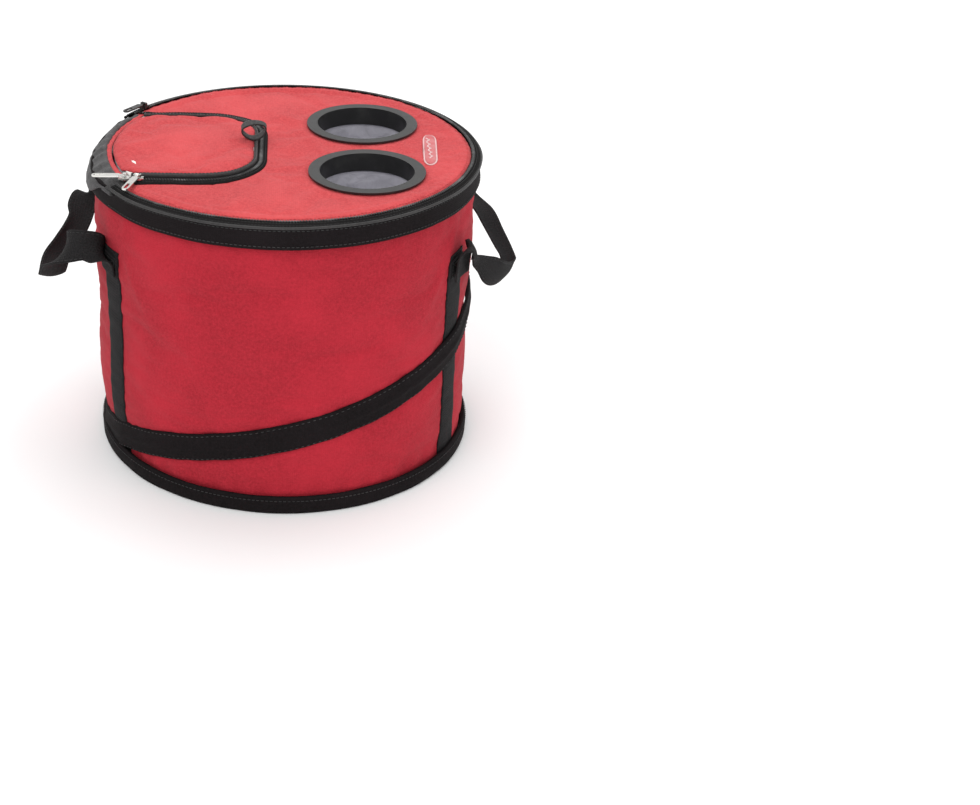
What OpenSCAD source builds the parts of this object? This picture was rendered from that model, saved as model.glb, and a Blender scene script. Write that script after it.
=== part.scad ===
// Round pop-up insulated cooler bag: a coil-sprung padded wall between two stiff rings, a zipped
// padded lid with a small zipped access flap and two cup wells, and a webbing handle on each side.
// Millimetres, +Z up. Origin: centre of the base, on the floor. -X: the lid hinge. +X: the cup wells.
// The bag is drawn popped open with every zip closed.

/* [Body] */
// Outside radius of the red wall
wall_r = 180; // [172:1:190]
// Height of the bottom edge of the black top band
band_z = 272; // [262:1:285]
// Height of the black top band
top_band_h = 19; // [18:1:22]
// Height of the black base band
base_band_h = 18; // [14:1:22]
// Thickness of the foam in the wall, lid, flap and base
foam_t = 5.8; // [5:0.1:6]

/* [Spring and straps] */
// Height the spiral band climbs for each degree round the wall
spiral_rise = 0.80; // [0.78:0.01:0.84]
// Height of the spiral band's middle at the front of the bag
spiral_front_z = 78.5; // [74:0.5:84]
// Width of the spiral band
spiral_w = 28; // [24:1:30]
// Width of the webbing
webbing_w = 30; // [25:1:32]
// Angle of the straps from the X axis
strap_angle = 28; // [26:1:30]
// Height of the middle of the handle anchors
anchor_z = 214; // [213:1:216]
// Reach of a handle from its anchors
handle_reach = 82; // [78:1:90]
// Droop of a handle below level
handle_droop = 30; // [20:1:32]

/* [Lid] */
// Radius of the hole in a cup ring
cup_r = 44; // [40:1:44]
// Distance of the cup wells from the lid's middle, towards the right
cup_x = 75; // [72:1:78]
// Distance of each cup well from the lid's centre line
cup_y = 63.5; // [62:0.5:66]
// Depth of a cup well below the lid
cup_depth = 52; // [40:1:60]
// Half width of the access flap
flap_half_w = 80; // [74:1:82]
// Right end of the access flap
flap_end_x = -28; // [-34:1:-26]
// Radius of the flap's two corners
flap_corner_r = 48; // [40:1:52]

/* [Hidden] */
$fn = 96;
skin_t = 1.2;
gap = 0.2;
lining_t = 1;
wall_foam_r = wall_r - skin_t - gap;
wall_lining_r = wall_foam_r - foam_t + 0.8 - gap;
strap_r = wall_r + 0.1;
webbing_t = 1;
anchor_t = 1.9;
coil_r = wall_r + 2.7;
coil_wire_r = 1;
spiral_r = wall_r + 4.3;
spiral_t = 0.8;
spiral_steps = 60;
band_t = 2;
top_band_r = wall_r + 5.5;
base_band_r = wall_r + 5;
rim_z = band_z + top_band_h;
wall_top_z = rim_z - 7;
lid_z = rim_z - 3.6;
cover_z = lid_z + lining_t + foam_t + 2 * gap;
lid_top_z = cover_z + skin_t;
lid_r = wall_r - 8;
chain_z = lid_top_z - 1.4;
chain_h = 2;
tooth_w = 1.8;
lid_teeth_r = wall_r - 2.6;
rim_teeth_r = lid_teeth_r + tooth_w + gap;
hinge_half_angle = 28;
lid_zip_half_angle = 137;
rim_zip_half_angle = 148;
slider_z = chain_z + chain_h + 0.6;
slider_t = 1.6;
slider_l = 11;
slider_w = 8;
pin_up = 3.6;
pin_r = 0.8;
pin_play = 0.08;
pull_l = 30;
pull_w = 6.6;
pull_t = 1.4;
main_slider_angle = 143.5;
right_pull_turn = 70;
right_pull_droop = 5;
flap_left_r = wall_r - 15;
flap_z = lid_z + 4;
flap_top_z = flap_z + lining_t + foam_t + skin_t + 2 * gap;
flap_binding_t = 3.8;
flap_zip_end_x = -126;
frame_zip_end_x = -152;
flap_slider_y = -(flap_half_w + 6);
slider_a_x = -147.5;
slider_b_x = -135.5;
ring_flange_r = cup_r + 10.5;
cup_ring_t = 1.2;
well_r = cup_r + 1.5;
well_t = 1;
lid_hole_r = well_r + well_t + 0.4;
cup_floor_z = lid_z - cup_depth;
handle_pivot_x = wall_r - 14;
handle_leg_y = (wall_r + 2.5) * sin(strap_angle) - 1;
handle_t = 2.6;
handle_corner_r = 58;
handle_neck = 16;

red = [0.80, 0.22, 0.25];
black = [0.10, 0.10, 0.11];
charcoal = [0.20, 0.20, 0.21];
silver_lining = [0.78, 0.78, 0.82];
foam_white = [0.90, 0.90, 0.86];
nickel = [0.78, 0.78, 0.76];

// A plain disc between two heights.
module disc(r, z0, z1) {
    translate([0, 0, z0]) cylinder(h = z1 - z0, r = r);
}

// A ring of square section between two radii and two heights.
module ring(r_in, r_out, z0, z1) {
    difference() {
        disc(r_out, z0, z1);
        disc(r_in, z0 - 1, z1 + 1);
    }
}

// The same ring from one angle round to another.
module ring_arc(r_in, r_out, z0, z1, from_angle, to_angle) {
    rotate([0, 0, from_angle])
        rotate_extrude(angle = to_angle - from_angle)
            translate([r_in, z0])
                square([r_out - r_in, z1 - z0]);
}

// A hoop of round wire or cord, whole or open over an equal angle on both sides of -X.
module hoop(r, wire_r, z, half_angle = 180) {
    translate([0, 0, z])
        rotate([0, 0, -half_angle])
            rotate_extrude(angle = 2 * half_angle)
                translate([r, 0])
                    circle(r = wire_r, $fn = 24);
}

// A strip of webbing lying on the wall.
module wall_strip(angle, width, r_in, thick, z0, z1) {
    half = asin(width / 2 / r_in);
    ring_arc(r_in, r_in + thick, z0, z1, angle - half, angle + half);
}

// The flap's U shape, grown outwards all round by grow.
module flap_block(grow, z0, z1) {
    h = z1 - z0;
    bend_x = flap_end_x - flap_corner_r;
    bend_y = flap_half_w - flap_corner_r;
    translate([-wall_r, -flap_half_w - grow, z0])
        cube([bend_x + wall_r, 2 * (flap_half_w + grow), h]);
    translate([bend_x - 1, -bend_y, z0])
        cube([flap_corner_r + grow + 1, 2 * bend_y, h]);
    for (side = [-1, 1])
        translate([bend_x, side * bend_y, z0])
            cylinder(h = h, r = flap_corner_r + grow);
}

// The flap's whole outline: the U shape, closed on the left by the lid's own curve.
module flap_plate(grow, left_grow, z0, z1) {
    intersection() {
        flap_block(grow, z0, z1);
        disc(flap_left_r + left_grow, z0, z1);
    }
}

// A strip that follows the flap's U between two offsets, open on the left.
module flap_strip(grow_in, grow_out, z0, z1, left_x) {
    difference() {
        flap_block(grow_out, z0, z1);
        flap_block(grow_in, z0 - 1, z1 + 1);
        translate([-2 * wall_r, -wall_r, z0 - 1])
            cube([2 * wall_r + left_x, 2 * wall_r, z1 - z0 + 2]);
    }
}

// The holes in each layer of the lid: the access opening and the two cup wells.
module lid_holes(z0, z1) {
    flap_plate(8, 1.5, z0 - 1, z1 + 1);
    for (side = [-1, 1])
        translate([cup_x, side * cup_y, 0])
            disc(lid_hole_r, z0 - 1, z1 + 1);
}

module lid_layer(r, z0, z1) {
    difference() {
        disc(r, z0, z1);
        lid_holes(z0, z1);
    }
}

// A zip slider, travelling along X, with two ears and a pin that carries the pull.
// The pull can lie turned to one side, so the ears turn with it.
module slider(pull_turn = 0) {
    difference() {
        union() {
            translate([-slider_l / 2, -slider_w / 2 + 1.2, 0])
                cube([slider_l, slider_w - 2.4, slider_t]);
            translate([-slider_l / 2 + 2.5, -slider_w / 2, 0])
                cube([slider_l - 5, slider_w, slider_t]);
        }
        translate([slider_l / 2 - 0.6, 0, -1])
            cylinder(h = slider_t + 2, r = 0.9);
    }
    rotate([0, 0, pull_turn]) {
        for (side = [-1, 1])
            translate([-1.6, side * 2.6 - 0.7, slider_t - 0.1])
                cube([3.2, 1.4, pin_up - slider_t + 1.5]);
        translate([0, 3.2, pin_up])
            rotate([90, 0, 0])
                cylinder(h = 6.4, r = pin_r, $fn = 24);
    }
}

// The pull tab of a slider, lying back along -X from the pin, with an oval finger hole.
module pull() {
    translate([0, 0, pin_up])
        difference() {
            union() {
                translate([0, 1.6, 0])
                    rotate([90, 0, 0])
                        cylinder(h = 3.2, r = 1.9, $fn = 32);
                translate([-6, -1.6, -pull_t / 2])
                    cube([6, 3.2, pull_t]);
                translate([-pull_l + pull_w / 2, -pull_w / 2, -pull_t / 2])
                    cube([pull_l - pull_w / 2 - 5, pull_w, pull_t]);
                translate([-pull_l + pull_w / 2, 0, -pull_t / 2])
                    cylinder(h = pull_t, r = pull_w / 2, $fn = 32);
            }
            translate([0, 5, 0])
                rotate([90, 0, 0])
                    cylinder(h = 10, r = pin_r + pin_play, $fn = 24);
            translate([-pull_l + pull_w / 2, -1.5, -pull_t])
                cube([7, 3, 2 * pull_t]);
            for (x = [0, 7])
                translate([-pull_l + pull_w / 2 + x, 0, -pull_t])
                    cylinder(h = 2 * pull_t, r = 1.5, $fn = 24);
        }
}

module at_main_slider() {
    rotate([0, 0, main_slider_angle])
        translate([rim_teeth_r - gap / 2, 0, slider_z])
            rotate([0, 0, -90])
                children();
}

module at_left_slider() {
    translate([slider_a_x, flap_slider_y, slider_z])
        children();
}

module at_right_slider() {
    translate([slider_b_x, flap_slider_y, slider_z])
        children();
}

// A stiff patch of doubled webbing sewn to the wall over the top of a strap.
module anchor(angle) {
    wall_strip(angle, webbing_w + 2, wall_r + 1.3, anchor_t, anchor_z - 14, anchor_z + 14);
}

// A handle lying level along +X, its width across the loop, before it is drooped.
module handle_block(grow, half_h) {
    bend_x = handle_reach - handle_corner_r;
    bend_y = handle_leg_y - handle_corner_r;
    translate([0, -handle_leg_y - grow, -half_h])
        cube([bend_x, 2 * (handle_leg_y + grow), 2 * half_h]);
    translate([bend_x - 1, -bend_y, -half_h])
        cube([handle_corner_r + grow + 1, 2 * bend_y, 2 * half_h]);
    for (side = [-1, 1])
        translate([bend_x, side * bend_y, -half_h])
            cylinder(h = 2 * half_h, r = handle_corner_r + grow);
}

// The webbing narrows to a short neck at each end, where it bends at the anchor.
module handle() {
    half_h = webbing_w / 2 - 1;
    translate([handle_pivot_x, 0, anchor_z])
        rotate([0, handle_droop, 0])
            difference() {
                handle_block(handle_t / 2, half_h);
                handle_block(-handle_t / 2, half_h + 1);
                translate([-150, -150, -30])
                    cube([150, 300, 60]);
                for (z = [3, -30])
                    translate([-5, -150, z])
                        cube([handle_neck + 5, 300, 27]);
            }
}

module cup_ring(side) {
    translate([cup_x, side * cup_y, 0]) {
        ring(cup_r, ring_flange_r, lid_top_z + 0.1, lid_top_z + 2);
        ring(cup_r, cup_r + cup_ring_t, lid_top_z - 16, lid_top_z + 0.2);
    }
}

module cup_retainer(side) {
    translate([cup_x, side * cup_y, 0])
        ring(well_r + well_t + 0.2, ring_flange_r - 0.5, lid_z - 2.2, lid_z - gap);
}

module cup_well(side) {
    translate([cup_x, side * cup_y, 0])
        difference() {
            disc(well_r + well_t, cup_floor_z, lid_z + 1);
            disc(well_r, cup_floor_z + well_t, lid_z + 2);
        }
}

module base_cover() {
    color(black) disc(wall_r + 2.4, 0, 1.6);
}

module base_band() {
    color(black) ring(wall_r + 2.6, base_band_r, 0, base_band_h);
}

module base_ring_wire() {
    color(nickel) hoop(wall_r - 2.1, 0.8, 7.5);
}

module base_board() {
    color(charcoal) disc(wall_r - 2, 1.8, 4.3);
}

module base_foam() {
    color(foam_white) disc(wall_r - 3, 4.5, 4.5 + foam_t);
}

module lining_floor() {
    color(silver_lining) disc(wall_lining_r - 0.4, 4.7 + foam_t, 4.7 + foam_t + lining_t);
}

module outer_wall() {
    color(red) ring(wall_r - skin_t, wall_r, 1.8, wall_top_z);
}

module wall_foam() {
    color(foam_white) ring(wall_lining_r + gap, wall_foam_r, 12, wall_top_z);
}

module lining_wall() {
    color(silver_lining) ring(wall_lining_r - lining_t, wall_lining_r, 12, wall_top_z);
}

// The angle round the bag at which the spiral's middle line has climbed to a height.
function spiral_angle(z) = -91 + (z - spiral_front_z) / spiral_rise;

// A solid swept through a list of cross-sections, each a loop of the same number of points.
module swept(loops) {
    n = len(loops[0]);
    last = len(loops) - 1;
    sides = [for (i = [0:last - 1], k = [0:n - 1])
        let (a = i * n + k, b = i * n + (k + 1) % n)
            each [[a, b, b + n], [a, b + n, a + n]]];
    ends = [[for (k = [n - 1:-1:0]) k], [for (k = [0:n - 1]) last * n + k]];
    polyhedron([for (loop = loops) each loop], concat(sides, ends));
}

// The coil climbs the wall once, inside the spiral band.
module spring_coil() {
    z0 = base_band_h + 2;
    z1 = band_z - 2;
    color(nickel)
        swept([for (i = [0:spiral_steps])
            let (z = z0 + (z1 - z0) * i / spiral_steps, a = spiral_angle(z))
                [for (k = [0:5])
                    let (r = coil_r + coil_wire_r * cos(60 * k))
                        [r * cos(a), r * sin(a), z + coil_wire_r * sin(60 * k)]]]);
}

// The band is cut off level where it meets the base band and the top band.
module spiral_band() {
    z0 = base_band_h + 0.3;
    z1 = band_z - 0.4;
    half = spiral_w / 2;
    from_z = z0 - half + 1;
    to_z = z1 + half - 1;
    color(black)
        swept([for (i = [0:spiral_steps])
            let (z = from_z + (to_z - from_z) * i / spiral_steps, a = spiral_angle(z),
                low = max(z - half, z0), high = min(z + half, z1), r_out = spiral_r + spiral_t)
                [[spiral_r * cos(a), spiral_r * sin(a), low], [r_out * cos(a), r_out * sin(a), low],
                    [r_out * cos(a), r_out * sin(a), high], [spiral_r * cos(a), spiral_r * sin(a), high]]]);
}

module strap(angle) {
    color(black) wall_strip(angle, webbing_w, strap_r, webbing_t, 3, anchor_z + 15);
}

module strap_left_front() {
    strap(180 + strap_angle);
}

module strap_left_back() {
    strap(180 - strap_angle);
}

module strap_right_front() {
    strap(-strap_angle);
}

module strap_right_back() {
    strap(strap_angle);
}

module top_band() {
    color(black) ring(top_band_r - band_t, top_band_r, band_z, rim_z);
}

module rim_wire() {
    color(nickel) hoop(wall_r + 2, 1.3, wall_top_z - 1.5);
}

module rim_piping() {
    color(charcoal) hoop(wall_r + 5, 1.3, rim_z + 1.4, 179.5 - hinge_half_angle);
}

module rim_zip_tape() {
    tape_r = wall_r + 2.2;
    color(black)
        rotate([0, 0, -rim_zip_half_angle])
            rotate_extrude(angle = 2 * rim_zip_half_angle)
                polygon([[tape_r, wall_top_z + 0.2], [tape_r + 0.8, wall_top_z + 0.2],
                    [tape_r + 0.8, chain_z + 1.4], [rim_teeth_r + tooth_w + gap, chain_z + 1.4],
                    [rim_teeth_r + tooth_w + gap, chain_z + 0.6], [tape_r, chain_z + 0.6]]);
}

module rim_zip_teeth() {
    color(charcoal)
        ring_arc(rim_teeth_r, rim_teeth_r + tooth_w, chain_z, chain_z + chain_h,
            -rim_zip_half_angle, rim_zip_half_angle);
}

// The wide strip of doubled fabric that the lid turns on.
module lid_hinge() {
    color(black)
        rotate([0, 0, 180 - hinge_half_angle])
            rotate_extrude(angle = 2 * hinge_half_angle)
                polygon([[wall_r - 3, rim_z + 3.2], [wall_r + 9, rim_z + 3.2], [wall_r + 9, band_z - 4],
                    [wall_r + 7, band_z - 4], [wall_r + 7, rim_z + 2.2], [wall_r + 3.2, rim_z + 2.9],
                    [wall_r - 3, rim_z + 2.2]]);
}

module mouth_trim() {
    color(black) ring(wall_lining_r - lining_t, wall_r + 2, wall_top_z + 0.4, wall_top_z + 2.2);
}

module lid_cover() {
    color(red) lid_layer(lid_r, cover_z, lid_top_z);
}

module lid_foam() {
    color(foam_white) lid_layer(lid_r, lid_z + lining_t + gap, lid_z + lining_t + gap + foam_t);
}

module lid_lining() {
    color(silver_lining) lid_layer(lid_r, lid_z, lid_z + lining_t);
}

module lid_binding() {
    color(black) ring(lid_r + 0.3, lid_r + 2.8, lid_z, cover_z);
}

module lid_zip_tape() {
    color(black)
        ring_arc(lid_r + gap, lid_teeth_r - gap, cover_z + 0.2, cover_z + 1,
            -lid_zip_half_angle, lid_zip_half_angle);
}

module lid_zip_teeth() {
    color(charcoal)
        ring_arc(lid_teeth_r, lid_teeth_r + tooth_w, chain_z, chain_z + chain_h,
            -lid_zip_half_angle, lid_zip_half_angle);
}

module cup_ring_front() {
    color(black) cup_ring(-1);
}

module cup_ring_back() {
    color(black) cup_ring(1);
}

module cup_retainer_front() {
    color(charcoal) cup_retainer(-1);
}

module cup_retainer_back() {
    color(charcoal) cup_retainer(1);
}

module cup_well_front() {
    color(silver_lining) cup_well(-1);
}

module cup_well_back() {
    color(silver_lining) cup_well(1);
}

// A plain stadium plate sewn to the lid.
module badge() {
    color(red)
        translate([137, -5, lid_top_z + 0.1]) {
            translate([-6, -29, 0]) cube([12, 58, 1]);
            for (side = [-1, 1])
                translate([0, side * 29, 0]) cylinder(h = 1, r = 6, $fn = 32);
        }
}

module flap_frame_tape() {
    color(black)
        intersection() {
            flap_strip(8, 14, lid_top_z + 0.1, lid_top_z + 0.7, frame_zip_end_x);
            disc(lid_r, lid_top_z - 1, lid_top_z + 2);
        }
}

module flap_frame_teeth() {
    color(charcoal)
        intersection() {
            flap_strip(6.1, 7.8, chain_z, chain_z + chain_h, frame_zip_end_x);
            disc(flap_left_r + 1.3, chain_z - 1, chain_z + chain_h + 1);
        }
}

module flap_cover() {
    color(red) flap_plate(-flap_binding_t - gap, -flap_binding_t - gap, flap_top_z - skin_t, flap_top_z);
}

module flap_foam() {
    z = flap_z + lining_t + gap;
    color(foam_white) flap_plate(-flap_binding_t - gap, -flap_binding_t - gap, z, z + foam_t);
}

module flap_lining() {
    color(silver_lining)
        flap_plate(-flap_binding_t - gap, -flap_binding_t - gap, flap_z, flap_z + lining_t);
}

module flap_binding() {
    color(black)
        difference() {
            flap_plate(0, 0, flap_z, flap_top_z + 0.4);
            flap_plate(-flap_binding_t, -flap_binding_t, flap_z - 1, flap_top_z + 2);
        }
}

module flap_zip_tape() {
    color(black) flap_strip(0.2, 4, chain_z + 0.6, chain_z + 1.4, flap_zip_end_x);
}

module flap_zip_teeth() {
    color(charcoal) flap_strip(4.2, 5.9, chain_z, chain_z + chain_h, flap_zip_end_x);
}

// A loop of tape that stands on the flap's free end, to lift it by.
module flap_pull_loop() {
    color(black)
        translate([flap_end_x - 4, 14, flap_top_z + 9.9])
            rotate([90, 0, 0])
                scale([1.2, 1, 1])
                    difference() {
                        cylinder(h = 9, r = 9.4, $fn = 48);
                        translate([0, 0, -1]) cylinder(h = 11, r = 7.9, $fn = 48);
                    }
}

module main_slider() {
    color(nickel) at_main_slider() slider();
}

module main_pull() {
    color(nickel) at_main_slider() pull();
}

module flap_slider_left() {
    color(nickel) at_left_slider() slider();
}

module flap_pull_left() {
    color(nickel) at_left_slider() pull();
}

module flap_slider_right() {
    color(nickel) at_right_slider() slider(right_pull_turn);
}

module flap_pull_right() {
    color(nickel)
        at_right_slider()
            rotate([0, 0, right_pull_turn])
                translate([0, 0, pin_up])
                    rotate([0, -right_pull_droop, 0])
                        translate([0, 0, -pin_up])
                            pull();
}

module anchor_left_front() {
    color(black) anchor(180 + strap_angle);
}

module anchor_left_back() {
    color(black) anchor(180 - strap_angle);
}

module anchor_right_front() {
    color(black) anchor(-strap_angle);
}

module anchor_right_back() {
    color(black) anchor(strap_angle);
}

module handle_left() {
    color(black) rotate([0, 0, 180]) handle();
}

module handle_right() {
    color(black) handle();
}

base_cover();
base_band();
base_ring_wire();
base_board();
base_foam();
lining_floor();
outer_wall();
wall_foam();
lining_wall();
spring_coil();
spiral_band();
strap_left_front();
strap_left_back();
strap_right_front();
strap_right_back();
top_band();
rim_wire();
rim_piping();
rim_zip_tape();
rim_zip_teeth();
lid_hinge();
mouth_trim();
lid_cover();
lid_foam();
lid_lining();
lid_binding();
lid_zip_tape();
lid_zip_teeth();
cup_ring_front();
cup_ring_back();
cup_retainer_front();
cup_retainer_back();
cup_well_front();
cup_well_back();
badge();
flap_frame_tape();
flap_frame_teeth();
flap_cover();
flap_foam();
flap_lining();
flap_binding();
flap_zip_tape();
flap_zip_teeth();
flap_pull_loop();
main_slider();
main_pull();
flap_slider_left();
flap_pull_left();
flap_slider_right();
flap_pull_right();
anchor_left_front();
anchor_left_back();
anchor_right_front();
anchor_right_back();
handle_left();
handle_right();
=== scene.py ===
"""The looks of the round pop-up cooler bag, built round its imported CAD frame. Lengths are in millimetres."""

import math

import bmesh
import bpy
import numpy as np
from mathutils import Matrix, Vector, noise
from mathutils.geometry import delaunay_2d_cdt


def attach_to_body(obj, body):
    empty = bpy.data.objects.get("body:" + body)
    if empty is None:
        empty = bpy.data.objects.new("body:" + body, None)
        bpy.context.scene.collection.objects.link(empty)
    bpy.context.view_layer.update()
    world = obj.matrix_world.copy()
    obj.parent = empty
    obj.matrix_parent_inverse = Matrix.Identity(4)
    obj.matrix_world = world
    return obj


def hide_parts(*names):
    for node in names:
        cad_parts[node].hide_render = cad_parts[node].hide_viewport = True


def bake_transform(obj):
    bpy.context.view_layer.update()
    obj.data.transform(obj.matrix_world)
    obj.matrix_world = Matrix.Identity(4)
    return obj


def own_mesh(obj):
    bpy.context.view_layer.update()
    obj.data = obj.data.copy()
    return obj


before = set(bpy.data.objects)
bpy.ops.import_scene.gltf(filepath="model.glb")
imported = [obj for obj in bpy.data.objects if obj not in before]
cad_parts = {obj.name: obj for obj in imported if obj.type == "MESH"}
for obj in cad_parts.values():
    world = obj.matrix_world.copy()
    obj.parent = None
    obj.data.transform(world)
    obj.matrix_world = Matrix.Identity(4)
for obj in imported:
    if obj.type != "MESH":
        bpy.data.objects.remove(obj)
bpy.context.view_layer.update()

MM = 0.001
WALL_R = 180.0
BAND_Z = 272.0
BASE_BAND_H = 18.0
SPIRAL_RISE = 0.80
SPIRAL_FRONT_Z = 78.5
SPIRAL_W = 28.0
WEBBING_W = 30.0
STRAP_ANGLES = {"right_front": -28, "right_back": 28, "left_back": 152, "left_front": 208}
LID_R = 176.5
CUP_X, CUP_Y = 75.0, 63.5
FLAP_HALF_W, FLAP_END_X, FLAP_CORNER_R, FLAP_LEFT_R = 80.0, -28.0, 48.0, 165.0
ZIP_HALF_ANGLE = 150
HINGE_FROM, HINGE_TO = 150, 212
END_SHARE = 0.72
LID_TOP_Z = 295.4
FOAM_R = 174.4
LINING_R = 170.6
ZIP_R, ZIP_Z, ZIP_PITCH = 178.7, 296.1, 1.25
VIEW_DOWN, VIEW_ROLL = 25.6, 0.4
# Soft creases in the wall: angle, height and lean of each.
CREASES = ((-140, 205, 1.2), (-36, 215, -1.0), (-60, 60, 0.5), (-118, 150, 0.9))


# ---------------------------------------------------------------- camera

def make_camera():
    camera = bpy.data.objects.new("camera", bpy.data.cameras.new("camera"))
    bpy.context.scene.collection.objects.link(camera)
    camera.data.lens = 64.8
    camera.data.sensor_width = 36
    camera.data.shift_x = 0.209
    camera.data.shift_y = -0.1185
    camera.data.clip_end = 50
    look = Matrix.Rotation(math.radians(90 - VIEW_DOWN), 4, "X")
    roll = Matrix.Rotation(math.radians(VIEW_ROLL), 4, "Z")
    camera.matrix_world = Matrix.Translation((0, -1.5816, 0.9058)) @ look @ roll
    bpy.context.scene.camera = camera


make_camera()


# ---------------------------------------------------------------- materials

def add_node(material, kind, inputs=(), **settings):
    made = material.node_tree.nodes.new(kind)
    for name, value in settings.items():
        setattr(made, name, value)
    for name, value in dict(inputs).items():
        if isinstance(value, bpy.types.NodeSocket):
            material.node_tree.links.new(value, made.inputs[name])
        else:
            made.inputs[name].default_value = value
    return made


def new_material(name):
    material = bpy.data.materials.new(name)
    material.use_nodes = True
    return material, material.node_tree.nodes["Principled BSDF"]


def rgba(colour):
    return (*colour, 1.0)


def mix_colours(material, factor, first, second):
    mixed = add_node(material, "ShaderNodeMix", data_type="RGBA")
    for index, value in ((6, first), (7, second)):
        if isinstance(value, bpy.types.NodeSocket):
            material.node_tree.links.new(value, mixed.inputs[index])
        else:
            mixed.inputs[index].default_value = rgba(value)
    material.node_tree.links.new(factor, mixed.inputs[0])
    return mixed.outputs[2]


def ramp(material, factor, low, high):
    made = add_node(material, "ShaderNodeMapRange", {"Value": factor})
    made.inputs["From Min"].default_value = low
    made.inputs["From Max"].default_value = high
    return made.outputs["Result"]


def cloth_material(name, dark, light, rough=0.85, thread=0.9, mottle=2.5, bump=0.5, sheen=0.03,
                   diagonal=False,
                   specular=0.2):
    """Woven cloth: two crossing sets of threads, mottled colour and faint wear."""
    material, shader = new_material(name)
    uv = add_node(material, "ShaderNodeTexCoord").outputs["UV"]
    place = add_node(material, "ShaderNodeTexCoord").outputs["Object"]
    threads = []
    for direction in ("X", "Y"):
        wave = add_node(
            material, "ShaderNodeTexWave",
            {"Vector": uv, "Scale": 1000 / thread / 6.28, "Distortion": 1.2, "Detail": 1.0},
            bands_direction="DIAGONAL" if diagonal and direction == "X" else direction,
        )
        threads.append(wave.outputs["Fac"])
    weave = add_node(material, "ShaderNodeMath", operation="MULTIPLY")
    material.node_tree.links.new(threads[0], weave.inputs[0])
    material.node_tree.links.new(threads[1], weave.inputs[1])
    fine = add_node(material, "ShaderNodeTexNoise",
                    {"Vector": place, "Scale": 1000 / mottle, "Detail": 5.0, "Roughness": 0.7})
    broad = add_node(material, "ShaderNodeTexNoise", {"Vector": place, "Scale": 14.0, "Detail": 3.0})
    speck = mix_colours(material, ramp(material, fine.outputs["Fac"], 0.3, 0.7), dark, light)
    worn = [c * 1.12 for c in light]
    colour = mix_colours(material, ramp(material, broad.outputs["Fac"], 0.45, 0.9), speck, worn)
    material.node_tree.links.new(colour, shader.inputs["Base Color"])
    height = add_node(material, "ShaderNodeMath", operation="ADD")
    material.node_tree.links.new(weave.outputs[0], height.inputs[0])
    material.node_tree.links.new(fine.outputs["Fac"], height.inputs[1])
    bumped = add_node(material, "ShaderNodeBump",
                      {"Height": height.outputs[0], "Strength": bump, "Distance": 0.0004})
    material.node_tree.links.new(bumped.outputs["Normal"], shader.inputs["Normal"])
    rough_low, rough_high = rough - 0.1, min(1.0, rough + 0.08)
    rough_map = add_node(material, "ShaderNodeMapRange",
                         {"Value": broad.outputs["Fac"], "To Min": rough_low, "To Max": rough_high})
    material.node_tree.links.new(rough_map.outputs["Result"], shader.inputs["Roughness"])
    shader.inputs["Sheen Weight"].default_value = sheen
    shader.inputs["Specular IOR Level"].default_value = specular
    shader.inputs["Sheen Roughness"].default_value = 0.5
    return material


def solid_material(name, colour, rough=0.4, metal=0.0, wear=(0.5, 0.5, 0.5), wear_from=0.62, grain=900.0,
                   bump=0.15):
    """Moulded, plated or coated stuff with a fine grain and rubbed patches."""
    material, shader = new_material(name)
    place = add_node(material, "ShaderNodeTexCoord").outputs["Object"]
    fine = add_node(material, "ShaderNodeTexNoise", {"Vector": place, "Scale": grain, "Detail": 3.0})
    broad = add_node(material, "ShaderNodeTexNoise",
                     {"Vector": place, "Scale": 45.0, "Detail": 5.0, "Roughness": 0.65})
    mixed = mix_colours(material, ramp(material, broad.outputs["Fac"], wear_from, 0.95), colour, wear)
    material.node_tree.links.new(mixed, shader.inputs["Base Color"])
    rough_map = add_node(
        material, "ShaderNodeMapRange",
        {"Value": broad.outputs["Fac"], "To Min": max(0.05, rough - 0.12), "To Max": min(1.0, rough + 0.15)},
    )
    material.node_tree.links.new(rough_map.outputs["Result"], shader.inputs["Roughness"])
    shader.inputs["Metallic"].default_value = metal
    bumped = add_node(material, "ShaderNodeBump",
                      {"Height": fine.outputs["Fac"], "Strength": bump, "Distance": 0.0002})
    material.node_tree.links.new(bumped.outputs["Normal"], shader.inputs["Normal"])
    return material


def film_material(name, colour, crease=60.0, rough=0.3):
    """Thin heat-sealed film with soft creases, painted darker in their low parts as shade."""
    material, shader = new_material(name)
    place = add_node(material, "ShaderNodeTexCoord").outputs["Object"]
    folds = add_node(material, "ShaderNodeTexNoise",
                     {"Vector": place, "Scale": crease, "Detail": 4.0, "Distortion": 0.6})
    # Painted shade: the colour is darker where the creases lie low.
    crease_shade = [c * 0.82 for c in colour]
    mixed = mix_colours(material, ramp(material, folds.outputs["Fac"], 0.35, 0.7), crease_shade, colour)
    material.node_tree.links.new(mixed, shader.inputs["Base Color"])
    shader.inputs["Roughness"].default_value = rough
    bumped = add_node(material, "ShaderNodeBump",
                      {"Height": folds.outputs["Fac"], "Strength": 0.6, "Distance": 0.004})
    material.node_tree.links.new(bumped.outputs["Normal"], shader.inputs["Normal"])
    return material


# One red cloth in two copies: the wall's is painted darker as shade on the sides, the lid's and flap's painted
# lighter as light on the top.
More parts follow.
